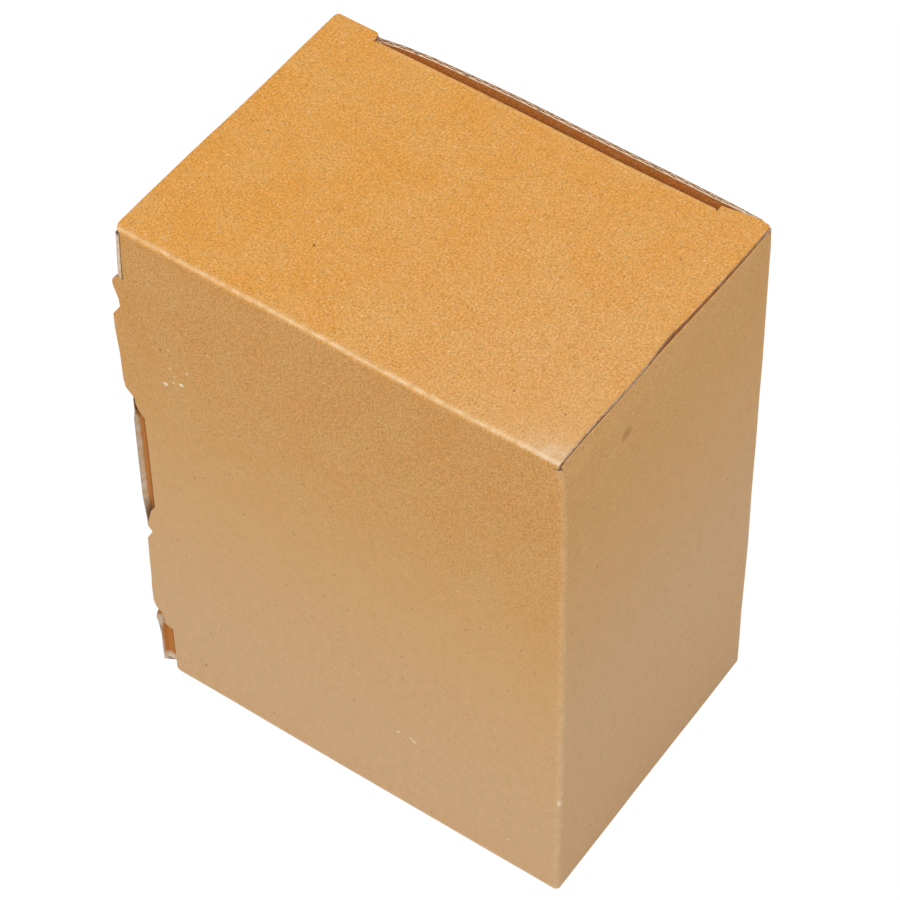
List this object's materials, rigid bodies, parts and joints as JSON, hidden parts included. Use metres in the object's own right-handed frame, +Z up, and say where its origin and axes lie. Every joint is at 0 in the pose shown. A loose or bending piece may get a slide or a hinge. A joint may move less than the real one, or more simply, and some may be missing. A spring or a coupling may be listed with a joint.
{
  "type": "cardboard box",
  "caption": "Closed upright corrugated carton with a hinged tuck lid, hooked die-cut tabs on one side edge, inner dust flaps and a glued bottom.",
  "frame": {"origin": "middle of the overall outline, on the ground", "axes": "+Z up along the height, +X from the left wall to the right wall, +Y from the front wall to the back wall; the lid turns about the top of the front wall"},
  "size_m": [0.1106, 0.0756, 0.149],
  "materials": {
    "board": "matte uncoated brown board"
  },
  "bodies": {
    "carton": {"box_body": "board"},
    "lid": {"lid": "board"}
  },
  "joints": [
    {"name": "lid_fold", "type": "hinge", "parent": "carton", "child": "lid", "pos_m": [0, -0.0378, 0.149], "axis": [1, 0, 0], "range_deg": [0, 180]}
  ]
}
